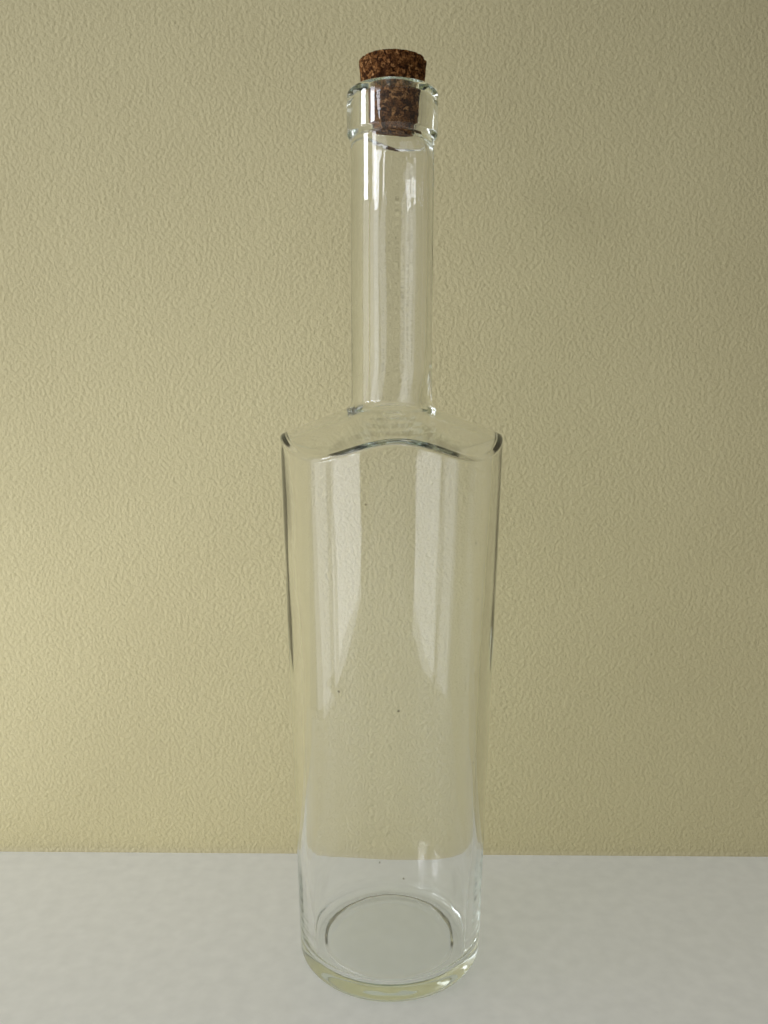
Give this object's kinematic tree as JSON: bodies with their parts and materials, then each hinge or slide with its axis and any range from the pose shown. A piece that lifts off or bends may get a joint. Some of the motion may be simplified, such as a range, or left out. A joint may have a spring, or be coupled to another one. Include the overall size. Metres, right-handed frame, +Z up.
{
  "type": "glass decanter",
  "caption": "Tall round clear glass bottle with a wavy shoulder crease, a long slim neck, a thick collar and a tapered cork stopper.",
  "frame": {"origin": "on the bottle's axis, in the plane that it stands on", "axes": "+Z up along the bottle's axis, from the base to the cork; a crest of the shoulder crease faces -Y, another +X"},
  "size_m": [0.0772, 0.0772, 0.3154],
  "materials": {
    "clear_glass": "clear, fire polished",
    "cork": "dry, pitted, dark brown"
  },
  "bodies": {
    "root": {"bottle": "clear_glass", "cork": "cork"}
  },
  "joints": []
}
